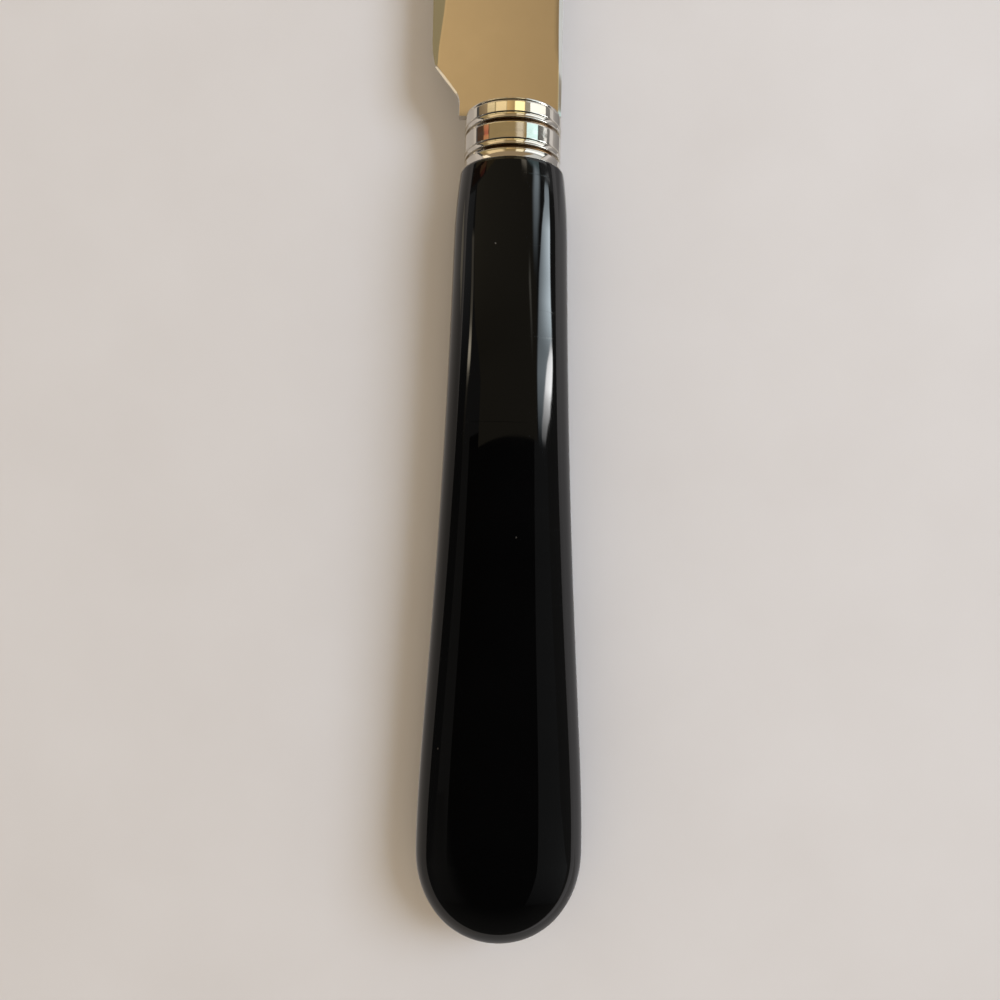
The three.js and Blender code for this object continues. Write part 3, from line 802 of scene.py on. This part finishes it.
sheet("grey_sheet", "#f4f2f0", [
    (0.452, 1, 32, 0.26, 0.2), (0.514, 1, 32, 0.26, 0.2), (0.57, 1, 32, 0.36, 0.36)], lift=0.01)
sheet("cream_strip", "#fff0d6", [
    (0.452, 65, 84, 0.48, 0.48), (0.4665, 65, 84, 0.5, 0.5), (0.472, 64, 88, 0.85, 0.85),
    (0.506, 64, 84, 0.7, 0.7)], lift=0.012, soft=0.35)

# Gold, cream and white sheets above it, seen in the ferrule's cap ring.
sheet("mauve_sheet", "#d8bc94", [
    (0.508, 149, 172, 0.42, 0.3), (0.526, 149, 172, 0.5, 0.34), (0.56, 149, 172, 0.9, 0.5)], lift=0.02)
sheet("pale_gold_sheet", "#ffe6b4", [
    (0.504, 129, 149, 0.5, 0.5), (0.535, 129, 149, 0.9, 0.9),
    (0.57, 129, 149, 1.8, 1.8)], lift=0.02, soft=0.1)
sheet("gold_sheet", "#f6dcaa", [
    (0.506, 103, 129, 0.9, 0.9), (0.53, 103, 129, 1.2, 1.2),
    (0.57, 103, 129, 1.35, 1.35)], lift=0.02, soft=0.1)
sheet("cream_sheet", "#fff0b5", [
    (0.506, 65, 88, 1.75, 1.75), (0.57, 65, 88, 1.75, 1.75)], lift=0.02, soft=0.1)
sheet("taupe_sheet", "#e9dcc6", [(0.506, 53, 65, 0.48, 0.48), (0.57, 53, 65, 0.48, 0.48)], lift=0.02)
sheet("white_sheet", "#fdfbf4", [
    (0.508, 14, 54, 1.5, 1.5), (0.562, 14, 54, 1.5, 1.5)], lift=0.02, skew=-0.012)

# The warm and the olive wall, seen in the blade's flat and bevel, and the far end, seen in the rings' lips.
sheet("pale_wall", "#d9b57b", [(0.4985, 60, 84, 0.5, 0.53), (0.8, 60, 84, 0.5, 0.53)])
sheet("warm_wall", "#d9b57b", [(0.4985, 84, 103.5, 0.625, 1.15), (0.8, 84, 103.5, 0.625, 1.15)])
sheet("olive_wall", "#a8976a", [(0.4985, 103.5, 172, 0.9, 0.9), (0.8, 103.5, 172, 0.9, 0.9)])
sheet("far_wall", "#c9ad7c", [(0.8, 60, 172, 0.55, 0.55), (TENT_END, 60, 172, 0.55, 0.55)])
sheet("far_gold", "#ffe2b0", [
    (0.8, 106, 161, 0.9, 1.0), (TENT_END, 106, 161, 0.9, 1.0)], lift=0.01, soft=0.2)
sheet("far_strip", "#fff0cc", [(0.8, 61, 84, 1.2, 1.2), (TENT_END, 61, 84, 1.2, 1.2)], lift=0.01, soft=0.2)
sheet("far_end", "#d8bd98", [
    (0, -TENT_SIDE, TENT_SIDE, 0.5, 0.5), (TENT_SIDE, -TENT_SIDE, TENT_SIDE, 0.5, 0.5)], place=on_far_end)
sheet("far_cream", "#fff0d6", [
    (0.02, -1.1, -0.3, 1.3, 1.3), (0.26, -1.1, -0.3, 1.3, 1.3)], lift=0.01, soft=0.2, place=on_far_end)
sheet("far_white", "#fbfdff", [
    (0.02, 0.28, 1.1, 0.7, 0.7), (0.5, 0.28, 1.1, 0.7, 0.7)], lift=0.01, soft=0.2, place=on_far_end)

# The window, seen down the handle's right side, in the ferrule and along the spine.
sheet("window_tall", "#f1f6f8", [
    (0.54, 12, 60, 1, 1), (0.78, 12, 60, 1, 1), (0.84, 4, 60, 1.6, 1.7), (1.1, 4, 60, 1.6, 1.7),
    (1.14, 4, 60, 0.5, 0.5), (TENT_END, 4, 60, 0.5, 0.5)])
sheet("window_pane", "#dafbff", [
    (0.452, 35, 61, 1.4, 1.4), (0.525, 35, 61, 1.4, 1.4)], lift=0.018, skew=-0.006)
sheet("window_corner", "#ffffff", [(0.466, 8, 22, 1.1, 1.1), (0.487, 11, 13, 1.1, 1.1)], lift=0.02)
sheet("window_high", "#d8e6ee", [
    (0.26, 42, 52, 0.2, 0.2), (0.306, 40.5, 54, 0.8, 0.8), (0.341, 39.5, 54.5, 2, 2),
    (0.37, 36.5, 55, 2.8, 2.8), (0.4, 35.5, 54.5, 3.6, 3.6), (0.43, 33.5, 52, 4.4, 4.4),
    (0.447, 32.5, 50.5, 4.6, 4.6), (0.464, 31, 49, 4.6, 4.6)], lift=0.02, soft=0.4, tapered=True)
sheet("window", "#dceaf2", [
    (0.03, 36, 43, 0.3, 0.3), (0.064, 31, 44, 1.4, 1), (0.099, 26, 45, 3, 2.4), (0.134, 20, 45.5, 4.1, 3.3),
    (0.168, 11, 45, 4.6, 2.8), (0.181, 11, 44.5, 6, 2.5), (0.203, 11, 44, 11, 2.3),
    (0.237, 13, 43, 15, 2.3), (0.272, 14, 41.5, 12.5, 2.4), (0.306, 14.5, 38.5, 14, 3.2),
    (0.341, 14.5, 35.5, 14, 5), (0.375, 14.5, 31.5, 7, 6), (0.4, 15, 27.5, 5.5, 5.5), (0.418, 14, 27, 5, 5),
    (0.432, 14, 26, 5, 4.5), (0.445, 14, 24, 3.5, 3.5),
    (0.458, 14, 20, 1, 1)], lift=0.03, soft=0.1, tapered=True)
sheet("window_sky", "#ffffff", [
    (0.034, 30, 36, 0.5, 0.5), (0.047, 28, 38, 2, 2), (0.064, 24, 38, 4, 3), (0.082, 17.5, 35.5, 7, 6),
    (0.099, 16, 34, 12, 8), (0.116, 12.5, 31.5, 23, 13), (0.134, 10.5, 29, 20, 15),
    (0.151, 9.5, 26, 20, 13), (0.168, 10, 20, 17, 12),
    (0.19, 11.5, 15.5, 6, 6)], lift=0.04, soft=0.2, tapered=True)

# The slit between the tent's doors, on the left.
sheet("left_slit", "#f4e6cc", [
    (0.03, 158, 164, 0.12, 0.12), (0.09, 157, 162.5, 0.15, 0.15), (0.122, 156, 161.5, 0.3, 0.3),
    (0.14, 154, 161.5, 1.2, 1.2), (0.157, 153, 161.5, 4.5, 4.5), (0.175, 153, 161, 6.0, 6.0),
    (0.192, 153, 160.5, 4.0, 4.0), (0.21, 153.5, 160.5, 1.8, 1.8), (0.227, 153.5, 160.5, 1.1, 1.1),
    (0.262, 154, 161.5, 0.8, 0.8), (0.296, 156, 162.5, 0.8, 0.8), (0.331, 157, 164.5, 0.8, 0.8),
    (0.352, 158, 164, 0.3, 0.3)], lift=0.02, soft=0.3, tapered=True)

# Sheets over the floor beside the knife, seen in its rims: they paint the floor there dimmer, a painted
# shade, with a lighter scrap of it, a painted highlight that the ground slope shows.
sheet("left_floor", "#ece1d7", [
    (-0.4, -FLOOR_REACH, -NEAR_FLOOR, 0.46, 0.42), (-0.1, -FLOOR_REACH, -NEAR_FLOOR, 0.4, 0.4),
    (-0.06, -FLOOR_REACH, -NEAR_FLOOR, 0.34, 0.36), (-0.03, -FLOOR_REACH, -NEAR_FLOOR, 0.34, 0.38),
    (0.0, -FLOOR_REACH, -NEAR_FLOOR, 0.5, 0.5), (0.03, -FLOOR_REACH, -NEAR_FLOOR, 0.75, 0.75),
    (0.5, -FLOOR_REACH, -NEAR_FLOOR, 0.8, 0.8)], lift=FLOOR_LIFT, place=on_floor)
sheet("left_floor_near", "#ece1d7", [
    (-0.4, -NEAR_FLOOR, -KNIFE_SIDE, 0.42, 0.46), (-0.1, -NEAR_FLOOR, -KNIFE_SIDE, 0.4, 0.46),
    (-0.06, -NEAR_FLOOR, -KNIFE_SIDE, 0.36, 0.46), (-0.03, -NEAR_FLOOR, -KNIFE_SIDE, 0.38, 0.5),
    (0.0, -NEAR_FLOOR, -KNIFE_SIDE, 0.5, 0.6), (0.03, -NEAR_FLOOR, -KNIFE_SIDE, 0.75, 0.75),
    (0.5, -NEAR_FLOOR, -KNIFE_SIDE, 0.8, 0.8)], lift=FLOOR_LIFT, place=on_floor)
sheet("right_floor", "#f0ecec", [
    (-0.4, NEAR_FLOOR, FLOOR_REACH, 0.65, 0.55), (-0.06, NEAR_FLOOR, FLOOR_REACH, 0.65, 0.55),
    (-0.03, NEAR_FLOOR, FLOOR_REACH, 0.8, 0.75), (0.0, NEAR_FLOOR, FLOOR_REACH, 0.85, 0.85),
    (0.5, NEAR_FLOOR, FLOOR_REACH, 0.8, 0.8)], lift=FLOOR_LIFT, place=on_floor)
sheet("right_floor_near", "#f0ecec", [
    (-0.4, KNIFE_SIDE, NEAR_FLOOR, 0.42, 0.65), (-0.06, KNIFE_SIDE, NEAR_FLOOR, 0.45, 0.65),
    (-0.03, KNIFE_SIDE, NEAR_FLOOR, 0.5, 0.8), (-0.009, KNIFE_SIDE, NEAR_FLOOR, 0.53, 0.84),
    (-0.004, KNIFE_SIDE, NEAR_FLOOR, 0.3, 0.6), (0.03, KNIFE_SIDE, NEAR_FLOOR, 0.3, 0.6),
    (0.5, KNIFE_SIDE, NEAR_FLOOR, 0.6, 0.8)], lift=FLOOR_LIFT, place=on_floor)
sheet("front_floor", "#ece6e2", [
    (-1.0, -FLOOR_REACH, FLOOR_REACH, 0.36, 0.5),
    (-0.4, -FLOOR_REACH, FLOOR_REACH, 0.36, 0.5)], lift=FLOOR_LIFT, place=on_floor)
sheet("front_floor_near", "#ece6e2", [
    (-0.4, -NEAR_FLOOR, NEAR_FLOOR, 0.34, 0.5),
    (KNIFE_FRONT, -NEAR_FLOOR, NEAR_FLOOR, 0.3, 0.4)], lift=FLOOR_LIFT, place=on_floor)
# A painted highlight: a bright scrap for the ground slope to reflect.
sheet("slope_floor", "#fff0d4", [
    (-0.017, -0.065, -0.036, 1.0, 1.0),
    (-0.003, -0.065, -0.036, 1.0, 1.0)], lift=2 * FLOOR_LIFT, place=on_floor)

# Studio light: cool soft light from a broad panel high on the right, and warm soft light from all round.
bpy.ops.object.light_add(type="AREA", location=(0.65, 0.25, 0.7))
panel = bpy.context.object
panel.name = "soft_panel"
panel.data.shape = "RECTANGLE"
panel.data.size = 0.5
panel.data.size_y = 0.5
panel.data.energy = 8
panel.data.color = colour("#d6e6ff")[:3]
panel.rotation_euler = (-panel.location).to_track_quat("-Z", "Y").to_euler()
panel.visible_glossy = False
world = bpy.data.worlds.new("soft_surround")
world.use_nodes = True
world.node_tree.nodes["Background"].inputs["Color"].default_value = colour("#ffebd3")
world.node_tree.nodes["Background"].inputs["Strength"].default_value = 0.66
bpy.context.scene.world = world
bpy.context.scene.view_settings.view_transform = "Standard"

# Camera: a wide lens close over the handle, pointing straight down and turned a little on its own axis, so
# that the handle fills the frame and the blade runs out of it.
LENS = 27.04
CAMERA_HEIGHT = 100
CAMERA_ALONG = -50.75
CAMERA_ACROSS = -0.73
ROLL = 1.15
bpy.ops.object.camera_add(
    location=at(CAMERA_ACROSS, CAMERA_ALONG, CAMERA_HEIGHT), rotation=(0, 0, math.radians(ROLL)))
camera = bpy.context.object
camera.name = "overhead_camera"
camera.data.sensor_width = 36
camera.data.lens = LENS
camera.data.clip_start = 0.01
bpy.context.scene.camera = camera
